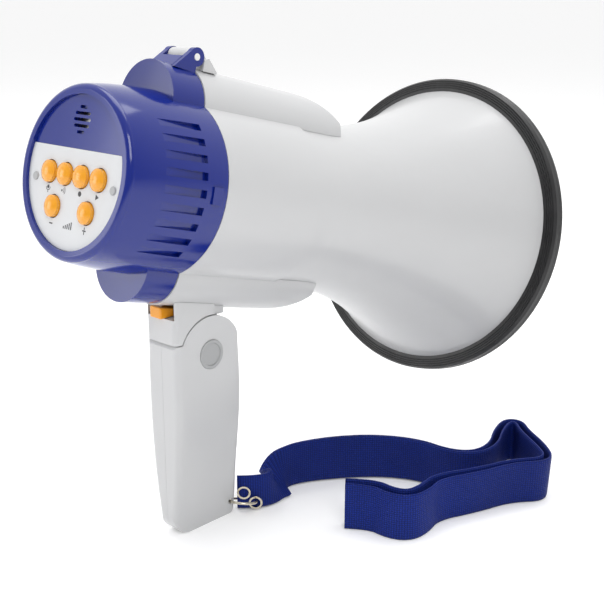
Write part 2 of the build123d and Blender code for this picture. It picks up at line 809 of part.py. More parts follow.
pivot = front_of(pivot_setback, pivot_height)
neck_clear = grip_head_radius + 0.5
neck_top = pivot_height + 40
narrow_half = neck_half_width - 1.8
ledge = 1.2
pocket_front = 54.5
pocket_bottom = notch_bottom - 0.9
stem_half = trigger_width / 2
ear_half = stem_half + 1.8
with BuildPart() as grip_neck:
    with BuildSketch(Plane.YZ):
        with BuildLine():
            side_line(
                (grip_setback, neck_bottom), (grip_setback, neck_top),
                (neck_front_setback, neck_top), (neck_front_setback, neck_bottom),
            )
        make_face()
    extrude(amount=neck_half_width, both=True)
    fillet(grip_neck.edges().filter_by(Axis.Z).group_by(Axis.Y)[-1], 2.6)
    with BuildSketch(Plane.YZ):
        with BuildLine():
            side_line(
                (neck_front_setback - 1, pivot_height + 16.8), (neck_front_setback - 1, neck_top),
                (tongue_front_setback, neck_top), (tongue_front_setback, pivot_height + 16.8),
            )
        make_face()
    extrude(amount=narrow_half, both=True)
    with BuildSketch(Plane.YZ):
        with Locations((pivot.Y, pivot.Z)):
            Circle(neck_clear)
    extrude(amount=neck_half_width + 1, both=True, mode=Mode.SUBTRACT)
    # tongue that enters the grip's head
    with BuildSketch(Plane.YZ):
        with Locations((pivot.Y, pivot.Z)):
            Circle(tongue_radius)
            Rectangle(2 * tongue_radius - 8, neck_clear + 3, align=(Align.CENTER, Align.MIN))
    extrude(amount=tongue_half_width, both=True)
    # the top follows the underside of the lower ridge
    with BuildSketch(station(cap_length)):
        with Locations((0, -ridge_offset)):
            Circle(ridge_radius + fit_gap)
        Rectangle(2 * ridge_radius + 2 * fit_gap, 2 * ridge_offset)
    extrude(amount=ridge_end - cap_length, mode=Mode.SUBTRACT)
    # notch for the finger, pocket for the trigger and its switch
    with BuildSketch(Plane.YZ):
        with BuildLine():
            side_line(
                (grip_setback - 1, notch_bottom), (grip_setback - 1, neck_top),
                (grip_setback + notch_depth, neck_top), (grip_setback + notch_depth, notch_bottom),
            )
        make_face()
    extrude(amount=notch_half_width, both=True, mode=Mode.SUBTRACT)
    with BuildSketch(Plane.YZ):
        with BuildLine():
            side_line(
                (grip_setback, notch_bottom), (grip_setback, neck_top),
                (pocket_front, neck_top), (pocket_front, notch_bottom),
            )
        make_face()
    extrude(amount=stem_half + joint_gap, both=True, mode=Mode.SUBTRACT)
    with BuildSketch(Plane.YZ):
        with BuildLine():
            side_line(
                (grip_setback + notch_depth + ledge, pocket_bottom),
                (grip_setback + notch_depth + ledge, neck_top),
                (pocket_front, neck_top), (pocket_front, pocket_bottom),
            )
        make_face()
    extrude(amount=ear_half + joint_gap, both=True, mode=Mode.SUBTRACT)
    with BuildSketch(Plane.YZ):
        with Locations((pivot.Y, pivot.Z)):
            Circle(pivot_pin_radius + pin_gap)
    extrude(amount=neck_half_width + 1, both=True, mode=Mode.SUBTRACT)
    for x in (neck_screw_x, -neck_screw_x):
        down = Plane(origin=head_point(neck_screw_station, screw_pad_rise, x),
                     x_dir=(1, 0, 0), z_dir=head_rise * -1)
        with BuildSketch(down):
            Circle(1.2)
        extrude(amount=8.4, mode=Mode.SUBTRACT)
grip_neck.part.label = "grip_neck"
export_step(grip_neck.part, "parts/grip_neck.step")

with BuildPart() as neck_screws:
    for x in (neck_screw_x, -neck_screw_x):
        down = Plane(origin=head_point(neck_screw_station, screw_pad_rise, x),
                     x_dir=(1, 0, 0), z_dir=head_rise * -1)
        with BuildSketch(down):
            Circle(2.3)
        extrude(amount=-1.4)
        with BuildSketch(down):
            Circle(1.15)
        extrude(amount=8.0)
neck_screws.part.label = "neck_screws"
export_step(neck_screws.part, "parts/neck_screws.step")

# talk trigger: slides straight forward under the ridge
trigger_rear = grip_setback - trigger_stand
trigger_front = grip_setback + notch_depth + ledge + 3.4
ridge_slope = tan(pitch)
underside_rear = (axis_height - ridge_top / cos(pitch)
                  - trigger_rear * ridge_slope)
trigger_top = underside_rear - 1.0
trigger_bottom = notch_bottom + joint_gap
with BuildPart() as talk_trigger:
    with BuildSketch(Plane.YZ):
        with BuildLine():
            side_line(
                (trigger_rear, trigger_bottom),
                (trigger_rear, trigger_top),
                (trigger_front, trigger_top - (trigger_front - trigger_rear) * ridge_slope),
                (trigger_front, trigger_bottom),
            )
        make_face()
    extrude(amount=stem_half, both=True)
    fillet(talk_trigger.edges().filter_by(Axis.Z).group_by(Axis.Y)[-1], 0.8)
    fillet(talk_trigger.edges().filter_by(Axis.X).group_by(Axis.Y)[-1], 0.6)
    ear_rear = grip_setback + notch_depth + ledge + joint_gap
    with BuildSketch(Plane.YZ):
        with BuildLine():
            side_line(
                (ear_rear, trigger_bottom),
                (ear_rear, trigger_top - (ear_rear - trigger_rear + 1.2) * ridge_slope),
                (ear_rear + 1.2, trigger_top - (ear_rear - trigger_rear + 1.2) * ridge_slope),
                (ear_rear + 1.2, trigger_bottom),
            )
        make_face()
    extrude(amount=ear_half, both=True)
talk_trigger.part.label = "talk_trigger"
export_step(talk_trigger.part, "parts/talk_trigger.step")

switch_rear = trigger_front + trigger_travel + 0.3
with BuildPart() as trigger_switch:
    with BuildSketch(Plane.YZ):
        with BuildLine():
            side_line(
                (switch_rear + 0.8, pocket_bottom), (switch_rear + 0.8, pocket_bottom + 2.6),
                (pocket_front, pocket_bottom + 2.6), (pocket_front, pocket_bottom),
            )
        make_face()
    extrude(amount=3.2, both=True)
    with BuildSketch(Plane.YZ):
        with BuildLine():
            side_line(
                (switch_rear, pocket_bottom + 1.3), (switch_rear, pocket_bottom + 2.3),
                (switch_rear + 1, pocket_bottom + 2.3), (switch_rear + 1, pocket_bottom + 1.3),
            )
        make_face()
    extrude(amount=1.0, both=True)
trigger_switch.part.label = "trigger_switch"
export_step(trigger_switch.part, "parts/trigger_switch.step")

# ================================================================ folding grip
# sections of the grip by height: setback of its front edge and half of its width
sections = (
    (-1, 78.6, 4.4), (6.5, 79.0, 5.3), (17, 78.2, 7.0), (37, 77.9, 9.3), (62, 79.0, 10.5),
    (80, 78.7, 10.5), (104, 78.7, 10.5),
)
corner_round = 3.2


def grip_body(inset=0.0):
    """Long body of the grip, without its rounded foot and head."""
    rear = head_y - grip_setback - inset
    with BuildPart() as body:
        for height, front, half in sections:
            fore = head_y - front + inset
            with BuildSketch(Plane.XY.offset(height)):
                with Locations((0, (rear + fore) / 2)):
                    RectangleRounded(2 * (half - inset), rear - fore, corner_round - inset)
        loft()
    return body.part


grip_rear = head_y - grip_setback
toe = head_y - sections[1][1]
toe_round = 4.2
crown = neck_bottom - 0.5
shoulder = pivot_height - 6
hollow_bottom = 15.0
hollow_top = 65.0
grip_screw_places = ((60.0, 59.0), (59.5, 39.0), (58.0, 21.0))
slot_half = tongue_half_width + joint_gap
cap_seat = grip_half_width - 1.3
with BuildPart() as grip_form:
    add(grip_body())
    with BuildSketch(Plane.YZ):
        with Locations((pivot.Y, pivot.Z)):
            Circle(grip_head_radius)
        with BuildLine():
            Polyline(
                (toe - 8, shoulder), (pivot.Y, shoulder), (pivot.Y, crown),
                (grip_rear - 1.2, crown), (grip_rear, crown - 1.4), (grip_rear, foot_round),
            )
            RadiusArc((grip_rear, foot_round), (grip_rear - foot_round * 0.8, 0), foot_round * 0.92)
            Line((grip_rear - foot_round * 0.8, 0), (toe + toe_round, 0))
            RadiusArc((toe + toe_round, 0), (toe, toe_round), toe_round)
            Polyline((toe, toe_round), (toe - 8, toe_round + 12), (toe - 8, shoulder))
        make_face()
    extrude(amount=grip_half_width + 2, both=True, mode=Mode.INTERSECT)
    # slot that the tongue folds through: open at the top and the front of the head
    with BuildSketch(Plane.YZ):
        with Locations((pivot.Y, pivot.Z)):
            Circle(tongue_radius + 0.6)
        with Locations((pivot.Y + tongue_radius - 4 + joint_gap, pivot.Z - 6)):
            Rectangle(50, 50, align=(Align.MAX, Align.MIN))
    extrude(amount=slot_half, both=True, mode=Mode.SUBTRACT)
    with BuildSketch(Plane.YZ):
        with Locations((pivot.Y, pivot.Z)):
            Circle(pivot_pin_radius + fit_gap / 2)
    extrude(amount=grip_half_width + 2, both=True, mode=Mode.SUBTRACT)
    for side in (1, -1):
        with BuildSketch(Plane.YZ.offset(side * cap_seat)):
            with Locations((pivot.Y, pivot.Z)):
                Circle(pivot_cap_radius + fit_gap)
        extrude(amount=side * 4, mode=Mode.SUBTRACT)

with BuildPart() as grip_hollow:
    add(grip_body(shell_wall))
    with BuildSketch(Plane.XY.offset(hollow_bottom)):
        Rectangle(100, 300)
    extrude(amount=hollow_top - hollow_bottom, mode=Mode.INTERSECT)
    with BuildSketch(Plane.YZ):
        with Locations(*((head_y - setback, height) for setback, height in grip_screw_places)):
            Circle(3.4)
    extrude(amount=grip_half_width, both=True, mode=Mode.SUBTRACT)

# the split ring that ties the strap to the front corner of the foot
toe_half = 5.0
ring_heading = radians(43.0)
ring_tilt = radians(16.5)
ring_out = Vector(-cos(ring_heading), -sin(ring_heading), -0.07).normalized()
ring_across = Vector(-sin(ring_heading) * cos(ring_tilt), cos(ring_heading) * cos(ring_tilt),
                     sin(ring_tilt))
ring_normal = ring_out.cross(ring_across).normalized()
tunnel = Vector(-toe_half + lanyard_hole_inset, toe + lanyard_hole_inset, lanyard_hole_height)
ring_centre = tunnel + ring_out * ring_radius
ring_plane = Plane(origin=ring_centre, x_dir=ring_out, z_dir=ring_normal)

for name, side in (("left", 1), ("right", -1)):
    with BuildPart() as grip_half:
        add(grip_form.part)
        add(grip_hollow.part, mode=Mode.SUBTRACT)
        with BuildSketch(Plane.YZ.offset(side * fit_gap / 2)):
            Rectangle(400, 400)
        extrude(amount=side * 20, mode=Mode.INTERSECT)
        with BuildSketch(Plane.YZ):
            with Locations(*((head_y - setback, height) for setback, height in grip_screw_places)):
                Circle(1.5 if side > 0 else 1.25)
        extrude(amount=side * (20 if side > 0 else 5.4), mode=Mode.SUBTRACT)
        if side > 0:
            with BuildSketch(Plane.YZ.offset(3.4)):
                with Locations(*((head_y - setback, height)
                                 for setback, height in grip_screw_places)):
                    Circle(2.9)
            extrude(amount=20, mode=Mode.SUBTRACT)
        else:
            with Locations(ring_plane):
                Torus(ring_radius, lanyard_hole_radius, mode=Mode.SUBTRACT)
    grip_half.part.label = f"grip_{name}"
    export_step(grip_half.part, f"parts/grip_{name}.step")

with BuildPart() as grip_screws:
    with BuildSketch(Plane.YZ.offset(3.4)):
        with Locations(*((head_y - setback, height) for setback, height in grip_screw_places)):
            Circle(2.6)
    extrude(amount=1.9)
    with BuildSketch(Plane.YZ.offset(3.4)):
        with Locations(*((head_y - setback, height) for setback, height in grip_screw_places)):
            Circle(1.2)
    extrude(amount=-8.4)
grip_screws.part.label = "grip_screws"
export_step(grip_screws.part, "parts/grip_screws.step")

with BuildPart() as pivot_pin:
    with BuildSketch(Plane.YZ.offset(-cap_seat + 0.1)):
        with Locations((pivot.Y, pivot.Z)):
            Circle(pivot_pin_radius)
    extrude(amount=2 * cap_seat - 0.2)
pivot_pin.part.label = "pivot_pin"
export_step(pivot_pin.part, "parts/pivot_pin.step")

for name, side in (("left", 1), ("right", -1)):
    with BuildPart() as pivot_cap:
        with BuildSketch(Plane.YZ.offset(side * cap_seat)):
            with Locations((pivot.Y, pivot.Z)):
                Circle(pivot_cap_radius)
        extrude(amount=side * pivot_cap_thick)
        with BuildSketch(Plane.YZ.offset(side * (cap_seat + pivot_cap_thick - 0.6))):
            with Locations((pivot.Y, pivot.Z)):
                Circle(pivot_cap_radius - 1.7)
        extrude(amount=side * 1.0, taper=-25, mode=Mode.SUBTRACT)
        fillet(pivot_cap.edges().group_by(Axis.X)[-1 if side > 0 else 0].sort_by(SortBy.LENGTH)[-1],
               0.35)
    pivot_cap.part.label = f"pivot_cap_{name}"
    export_step(pivot_cap.part, f"parts/pivot_cap_{name}.step")

# ================================================================ wrist strap
with BuildPart() as lanyard_ring:
    with Locations(ring_plane):
        Torus(ring_radius, ring_wire)
lanyard_ring.part.label = "lanyard_ring"
export_step(lanyard_ring.part, "parts/lanyard_ring.step")

# the strap's first stretch is crossed squarely by the ring
patch_depth = 2.4
patch_along = Vector(-cos(ring_heading), -sin(ring_heading), 0)
patch_normal = Vector(-sin(ring_heading), cos(ring_heading), 0)
patch_middle = ring_centre - patch_normal * patch_depth
lean = -patch_depth / (ring_radius * ring_across.dot(patch_normal))
crossing = ring_centre + (ring_out * sqrt(1 - lean**2) + ring_across * lean) * ring_radius
eyelet_places = (crossing, crossing - patch_along * 5.6 + Vector(0, 0, 5.2))
eyelet_planes = [Plane(origin=place, x_dir=patch_along, z_dir=patch_normal)
                 for place in eyelet_places]

strap_start = patch_middle - patch_along * 3.0
strap_bend = patch_middle + patch_along * 14.5
strap_route = (
    (strap_start.X, strap_start.Y), (strap_bend.X, strap_bend.Y),
    (-5, 19), (-5, 6), (-14, -12), (-29, -30), (-48, -41), (-66, -41), (-77, -48), (-78, -62),
    (-70, -78), (-66, -93), (-72, -97), (-81, -88), (-97, -77), (-108, -66), (-96, -52),
    (-90, -33), (-80, -13), (-83, 0), (-82, 10), (-74, 14), (-63, 13), (-53, 21),
)
bend_radii = []
for before, here, after in zip(strap_route, strap_route[1:], strap_route[2:]):
    first = Vector(here[0] - before[0], here[1] - before[1])
    second = Vector(after[0] - here[0], after[1] - here[1])
    half_turn = radians(first.get_angle(second)) / 2
    bend_radii.append(0.45 * min(first.length, second.length) / tan(half_turn))
bend_radii[0] = min(bend_radii[0], eyelet_bend)
print("strap bend radii", [round(radius, 1) for radius in bend_radii])
with BuildPart() as wrist_strap:
    with BuildSketch():
        with BuildLine():
            FilletPolyline(*strap_route, radius=bend_radii)
            offset(amount=strap_thick / 2, kind=Kind.ARC, side=Side.BOTH, closed=True,
                   mode=Mode.REPLACE)
        make_face()
    extrude(amount=strap_width)
    for plane in eyelet_planes:
        with BuildSketch(plane):
            Circle(eyelet_bore + 0.3 + fit_gap / 2)
        extrude(amount=5, both=True, mode=Mode.SUBTRACT)
wrist_strap.part.label = "wrist_strap"
export_step(wrist_strap.part, "parts/wrist_strap.step")

with BuildPart() as strap_eyelets:
    for plane in eyelet_planes:
        half = strap_thick / 2
        with BuildSketch(plane.offset(-half - eyelet_flange)):
            Circle(eyelet_bore + 0.3)
        extrude(amount=2 * half + 2 * eyelet_flange)
        for start in (half, -half - eyelet_flange):
            with BuildSketch(plane.offset(start)):
                Circle(eyelet_radius)
            extrude(amount=eyelet_flange)
        with BuildSketch(plane):
            Circle(eyelet_bore)
        extrude(amount=5, both=True, mode=Mode.SUBTRACT)
strap_eyelets.part.label = "strap_eyelets"
export_step(strap_eyelets.part, "parts/strap_eyelets.step")
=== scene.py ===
"""Handheld megaphone: materials, strap, face marks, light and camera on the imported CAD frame."""
import json
from math import cos, exp, pi, radians, sin

import bmesh
import bpy
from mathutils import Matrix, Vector


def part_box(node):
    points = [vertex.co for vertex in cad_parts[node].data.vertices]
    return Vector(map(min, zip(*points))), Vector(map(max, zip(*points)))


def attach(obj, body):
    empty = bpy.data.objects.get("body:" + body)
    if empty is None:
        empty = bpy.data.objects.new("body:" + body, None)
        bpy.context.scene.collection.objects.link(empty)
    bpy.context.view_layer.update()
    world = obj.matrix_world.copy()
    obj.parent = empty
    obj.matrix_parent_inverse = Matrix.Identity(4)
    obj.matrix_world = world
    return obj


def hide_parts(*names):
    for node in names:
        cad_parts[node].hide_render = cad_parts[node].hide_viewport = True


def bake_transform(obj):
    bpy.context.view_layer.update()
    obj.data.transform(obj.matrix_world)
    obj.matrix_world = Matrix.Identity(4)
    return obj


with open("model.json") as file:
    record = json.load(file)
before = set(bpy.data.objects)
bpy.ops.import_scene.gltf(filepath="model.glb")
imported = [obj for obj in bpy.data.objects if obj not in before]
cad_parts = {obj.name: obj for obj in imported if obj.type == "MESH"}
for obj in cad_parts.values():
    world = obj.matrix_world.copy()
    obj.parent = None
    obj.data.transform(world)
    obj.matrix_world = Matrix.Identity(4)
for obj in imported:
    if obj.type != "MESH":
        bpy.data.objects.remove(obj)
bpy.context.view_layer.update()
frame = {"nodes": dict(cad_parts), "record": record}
MM = 0.001
UP = Vector((0, 0, 1))

# ------------------------------------------------------------------ frame of the head
HEAD_PITCH = radians(13.8)
HEAD_FORWARD = Vector((0, -cos(HEAD_PITCH), -sin(HEAD_PITCH)))
HEAD_RISE = Vector((0, -sin(HEAD_PITCH), cos(HEAD_PITCH)))
AXIS_HEIGHT = 172.5 * MM
CAP_EDGE_RADIUS = 35.0 * MM
CAP_EDGE_ROUND = 2.6 * MM


def head_origin():
    """Centre of the cap's rear face, from the cap's own box."""
    reach = (CAP_EDGE_RADIUS - CAP_EDGE_ROUND) * sin(HEAD_PITCH)
    reach += CAP_EDGE_ROUND * (1 - cos(HEAD_PITCH))
    return Vector((0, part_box("rear_cap")[1][1] - reach, AXIS_HEIGHT))


HEAD = head_origin()


def head_point(distance, rise, x=0.0):
    """A place on the head, in millimetres: forward from the cap's face, up from its axis, across."""
    return HEAD + HEAD_FORWARD * distance * MM + HEAD_RISE * rise * MM + Vector((x * MM, 0, 0))


# ------------------------------------------------------------------ node helpers
def tint(color, factor, lift=0.0):
    """A colour made darker or lighter."""
    return tuple(min(1, channel * factor + lift) for channel in color)


class Graph:
    """A material under construction, with short calls for the nodes used here."""

    def __init__(self, name):
        self.material = bpy.data.materials.new(name)
        self.material.use_nodes = True
        self.nodes = self.material.node_tree.nodes
        self.links = self.material.node_tree.links
        self.shader = self.nodes["Principled BSDF"]

    def put(self, socket, value):
        if isinstance(value, bpy.types.NodeSocket):
            self.links.new(value, socket)
        else:
            socket.default_value = value

    def set(self, **values):
        for name, value in values.items():
            socket = self.shader.inputs[name.replace("_", " ")]
            if isinstance(value, tuple) and len(value) == 3 and socket.type == "RGBA":
                value = (*value, 1)
            self.put(socket, value)

    def math(self, operation, first, second=0.0, third=0.0):
        node = self.nodes.new("ShaderNodeMath")
        node.operation = operation
        for socket, value in zip(node.inputs, (first, second, third)):
            self.put(socket, value)
        return node.outputs[0]

    def position(self, scale=(1, 1, 1)):
        coordinate = self.nodes.new("ShaderNodeTexCoord")
        mapping = self.nodes.new("ShaderNodeMapping")
        mapping.inputs["Scale"].default_value = scale
        self.links.new(coordinate.outputs["Object"], mapping.inputs["Vector"])
        return mapping.outputs[0]

    def noise(self, scale, detail=3.0, vector=None):
        node = self.nodes.new("ShaderNodeTexNoise")
        node.inputs["Scale"].default_value = scale
        node.inputs["Detail"].default_value = detail
        self.links.new(vector or self.position(), node.inputs["Vector"])
        return node.outputs["Fac"]

    def spread(self, value, low, high, start=0.0, end=1.0):
        node = self.nodes.new("ShaderNodeMapRange")
        limits = {"From Min": start, "From Max": end, "To Min": low, "To Max": high}
        for name, number in limits.items():
            node.inputs[name].default_value = number
        self.put(node.inputs["Value"], value)
        return node.outputs[0]

    def mix(self, factor, first, second):
        node = self.nodes.new("ShaderNodeMix")
        node.data_type = "RGBA"
        self.put(node.inputs["Factor"], factor)
        for name, value in (("A", first), ("B", second)):
            socket = [s for s in node.inputs if s.name == name and s.type == "RGBA"][0]
            self.put(socket, (*value, 1) if isinstance(value, tuple) else value)
        return [s for s in node.outputs if s.type == "RGBA"][0]

    def bump(self, height, strength, distance):
        node = self.nodes.new("ShaderNodeBump")
        node.inputs["Strength"].default_value = strength
        node.inputs["Distance"].default_value = distance
        self.links.new(height, node.inputs["Height"])
        self.links.new(node.outputs[0], self.shader.inputs["Normal"])


# ------------------------------------------------------------------ materials
# noise scales are in cells per metre, bump heights in metres
def moulded(name, color, roughness, grain=0.25, coat=0.0, subsurface=0.0):
    """Moulded plastic: faint flow variation, fine spark texture and slightly uneven gloss."""
    graph = Graph(name)
    flow = graph.noise(14, 2, graph.position((1, 1, 2.5)))
    graph.set(Base_Color=graph.mix(graph.spread(flow, 0, 1, 0.35, 0.65), tint(color, 0.975), color))
    haze = graph.noise(60, 3)
    graph.set(Roughness=graph.spread(haze, roughness * 0.93, roughness * 1.08, 0.3, 0.7))
    graph.bump(graph.noise(1400, 1), grain, 0.000006)
    graph.set(Coat_Weight=coat, Coat_Roughness=0.05, IOR=1.5)
    if subsurface:
        graph.set(Subsurface_Weight=subsurface, Subsurface_Radius=(0.004, 0.004, 0.004),
                  Subsurface_Scale=0.5)
    return graph.material


def metal(name, color, roughness):
    """Plated metal with fine scratches along one direction."""
    graph = Graph(name)
    scratch = graph.noise(900, 4, graph.position((1, 6, 1)))
    graph.set(Base_Color=graph.mix(graph.spread(scratch, 0, 1, 0.3, 0.7), tint(color, 0.8), color),
              Metallic=1.0,
              Roughness=graph.spread(scratch, roughness * 0.7, roughness * 1.5, 0.3, 0.7))
    graph.bump(scratch, 0.15, 0.00002)
    return graph.material


def webbing(name, color, pick=1.15):
    """Plain weave read from the strap's own UV, which counts millimetres along and across. Its
    colour is painted darker in the dips between threads and lighter on their crowns: painted shade
    and painted light.
    """
    graph = Graph(name)
    uv = graph.nodes.new("ShaderNodeUVMap")
    uv.uv_map = "weave"
    split = graph.nodes.new("ShaderNodeSeparateXYZ")
    graph.links.new(uv.outputs[0], split.inputs[0])
    along = graph.math("DIVIDE", split.outputs[0], pick)
    across = graph.math("DIVIDE", split.outputs[1], pick * 0.9)
    count = graph.math("ADD", graph.math("FLOOR", along), graph.math("FLOOR", across))
    parity = graph.math("MODULO", count, 2)
    odd = graph.math("GREATER_THAN", graph.math("ABSOLUTE", parity), 0.5)

    def arch(value):
        return graph.math("ABSOLUTE", graph.math("SINE", graph.math("MULTIPLY", value, pi)))

    def thread(flat, crowned):
        return graph.math("MULTIPLY", graph.math("POWER", arch(flat), 0.6), arch(crowned))

    over = graph.math("MULTIPLY", thread(across, along), odd)
    under = graph.math("MULTIPLY", thread(along, across), graph.math("SUBTRACT", 1, odd))
    height = graph.math("ADD", over, graph.math("MULTIPLY", under, 0.85))
    fibre = graph.noise(1500, 3)
    # the thread height darkens the dips and lightens the crowns: painted shade and painted light;
    # the fibre noise and the patches are the yarn's own uneven tone
    weave_shade_and_fibre = graph.math("ADD", graph.spread(height, 0.0, 0.85), graph.spread(fibre, -0.15, 0.3))
    patch = graph.spread(graph.noise(28, 2), 0.82, 1.12, 0.35, 0.65)
    graph.set(Base_Color=graph.mix(graph.math("MULTIPLY", weave_shade_and_fibre, patch), tint(color, 0.28),
                                   tint(color, 1.25, 0.001)),
              Roughness=graph.spread(fibre, 0.5, 0.75), Specular_IOR_Level=0.2,
              Sheen_Weight=0.04, Sheen_Roughness=0.4, Sheen_Tint=tint(color, 2, 0.1))
    graph.bump(graph.math("ADD", height, graph.math("MULTIPLY", fibre, 0.25)), 0.9, 0.0003)
    return graph.material


def rubber(name, color):
    """Dull rubber with a little dust in its grain."""
    graph = Graph(name)
    dust = graph.noise(90, 4)
    graph.set(Base_Color=graph.mix(graph.spread(dust, 0, 0.35, 0.45, 0.8), color,
                                   tint(color, 3, 0.01)),
              Roughness=graph.spread(dust, 0.32, 0.5, 0.3, 0.7), Specular_IOR_Level=0.5)
    graph.bump(graph.noise(1800, 2), 0.3, 0.00003)
    return graph.material


WHITE = (0.525, 0.528, 0.534)
BLUE = (0.003, 0.014, 0.19)
FACE_WHITE = (0.60, 0.61, 0.625)
BUTTON_ORANGE = (0.78, 0.33, 0.012)
TRIGGER_ORANGE = (0.80, 0.31, 0.008)
materials = {
    "white_shell": moulded("white_shell", WHITE, 0.30, grain=0.12, coat=0.15, subsurface=0.05),
    "blue_shell": moulded("blue_shell", BLUE, 0.14, grain=0.03, coat=0.1),
    "face_white": moulded("face_white", FACE_WHITE, 0.42, grain=0.1),
    "button_orange": moulded("button_orange", BUTTON_ORANGE, 0.22, grain=0.08, coat=0.4,
                             subsurface=0.05),
    "trigger_orange": moulded("trigger_orange", TRIGGER_ORANGE, 0.3, grain=0.15, coat=0.2),
    "rim_rubber": rubber("rim_rubber", (0.010, 0.010, 0.011)),
    "grey_cap": moulded("grey_cap", (0.36, 0.365, 0.37), 0.38, grain=0.2),
    "pin_white": moulded("pin_white", (0.78, 0.78, 0.76), 0.35, grain=0.1),
    "steel": metal("steel", (0.56, 0.56, 0.56), 0.28),
    "nickel": metal("nickel", (0.72, 0.66, 0.54), 0.2),
    "webbing": webbing("webbing", (0.003, 0.020, 0.22)),
    "black_plastic": moulded("black_plastic", (0.02, 0.02, 0.022), 0.4, grain=0.4),
    "board_green": moulded("board_green", (0.02, 0.16, 0.06), 0.35, grain=0.3),
    "cell": metal("cell", (0.45, 0.45, 0.47), 0.35),
    "contact": metal("contact", (0.72, 0.60, 0.35), 0.3),
    "cone_paper": moulded("cone_paper", (0.035, 0.035, 0.04), 0.7, grain=0.8),
    "tube_white": moulded("tube_white", (0.62, 0.62, 0.62), 0.45, grain=0.3),
}
slot_of = {part["node"]: part["material_slot"] for part in frame["record"]["subparts"]}
for name, node in frame["nodes"].items():
    for slot in node.material_slots:
        slot.link = "OBJECT"
        slot.material = materials[slot_of[name]]


# ------------------------------------------------------------------ piece helpers
def finished(name, form):
    """The mesh of a bmesh, with its faces turned outwards."""
    bmesh.ops.recalc_face_normals(form, faces=form.faces)
    mesh = bpy.data.meshes.new(name)
    form.to_mesh(mesh)
    form.free()
    return mesh


def piece(name, mesh, material, body):
    """A finished mesh as a piece that rides on a body."""
    obj = bpy.data.objects.new(name, mesh)
    bpy.context.collection.objects.link(obj)
    mesh.materials.append(material)
    if body:
        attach(obj, body)
    return obj


# ------------------------------------------------------------------ wrist strap
STRAP_WIDTH_MM = 22
STRAP_WIDTH = STRAP_WIDTH_MM * MM
STRAP_HEIGHT = STRAP_WIDTH / 2
PLY = 1.25 * MM
STRAP_ROWS = 15                        # points up each face of a ply
SELVEDGE = 0.04                        # share of the width where the edge is thinner
FLOOR_GAP = 0.35 * MM
BACK_PLY_LIFT = 0.5 * MM               # the ply that comes back lies a little higher
# start and first bend of the strap, then its way over the floor, in millimetres
STRAP_ROUTE = (
    (-3.97, 43.2), (-16.64, 31.38), (-5, 19), (-5, 6), (-14, -12), (-29, -30), (-48, -41),
    (-66, -41), (-77, -48), (-78, -62), (-70, -78), (-66, -93), (-72, -97), (-81, -88),
    (-97, -77), (-108, -66), (-96, -52), (-90, -33), (-80, -13), (-83, 0), (-82, 10),
    (-74, 14), (-63, 13), (-53, 21),
)


def strap_line():
    """Points of the strap's smooth line, with the length up to each."""
    curve = bpy.data.curves.new("strap_line", "CURVE")
    curve.dimensions = "3D"
    curve.resolution_u = 12
    spline = curve.splines.new("NURBS")
    spline.points.add(len(STRAP_ROUTE) - 1)
    for point, (x, y) in zip(spline.points, STRAP_ROUTE):
        point.co = (x * MM, y * MM, STRAP_HEIGHT, 1)
    spline.order_u = 3
    spline.use_endpoint_u = True
    holder = bpy.data.objects.new("strap_line", curve)
    mesh = bpy.data.meshes.new_from_object(holder)
    points = [vertex.co.copy() for vertex in mesh.vertices]
    bpy.data.objects.remove(holder)
    bpy.data.meshes.remove(mesh)
    lengths = [0.0]
    for before, after in zip(points, points[1:]):
        lengths.append(lengths[-1] + (after - before).length)
    return points, lengths


points, lengths = strap_line()


def smooth(value, start, end):
    """Rises gently from 0 at start to 1 at end."""
    share = min(1, max(0, (value - start) / (end - start)))
    return share * share * (3 - 2 * share)


def hump(value, middle, half):
    """A bell of height 1 about the middle."""
    return exp(-((value - middle) / half) ** 2)


def strap_side(index):
    """Level direction across the strap's line at one of its points."""
    before = points[max(0, index - 1)]
    after = points[min(len(points) - 1, index + 1)]
    heading = (after - before).normalized()
    return Vector((-heading.y, heading.x, 0))


# The next three take the distance along the strap from its eyelets, in millimetres.
def gap_at(length):
    """Half of the space between the two plies, which are tied at the eyelets."""
    loose = 0.55 + 0.9 * smooth(length, 60, 130) * (1 + sin(length / 21)) / 2
    loose += 1.1 * hump(length, 215, 22) + 0.9 * hump(length, 330, 30)
    return (0.02 + loose * smooth(length, 26, 70)) * MM


def lean_at(length):
    """How far the band leans from upright: it turns over just after the eyelet patch."""
    twist = radians(50) * hump(length, 27, 6.5)
    return twist + radians(5) * sin(length / 33) * smooth(length, 40, 80)


def height_at(length):
    """Share of the full width: the patch is folded narrower than the band."""
    return 0.76 + 0.24 * smooth(length, 14, 44)


def ply_section(index, side):
    """Middle of one ply at a point of the line, and the ring round it with each point's share
    of the width."""
    length = lengths[index] / MM
    across = strap_side(index)
    place = points[index] + across * side * (gap_at(length) + PLY / 2)
    lean = lean_at(length)
    up = UP * cos(lean) + across * sin(lean)
    out = across * cos(lean) - UP * sin(lean)
    reach = STRAP_WIDTH * height_at(length)
    foot = Vector((place.x, place.y, FLOOR_GAP)) - across * sin(lean) * reach * 0.5
    foot += UP * (abs(sin(lean)) * PLY * 0.5 + (BACK_PLY_LIFT if side < 0 else 0))
    shares = [row / (STRAP_ROWS - 1) for row in range(STRAP_ROWS)]
    ring = []
    for face, heights in ((1, shares), (-1, shares[::-1])):
        for share in heights:
            thick = PLY * (0.5 if min(share, 1 - share) > SELVEDGE else 0.3)
            ring.append((foot + up * reach * share + out * side * face * thick, share))
    return place, ring


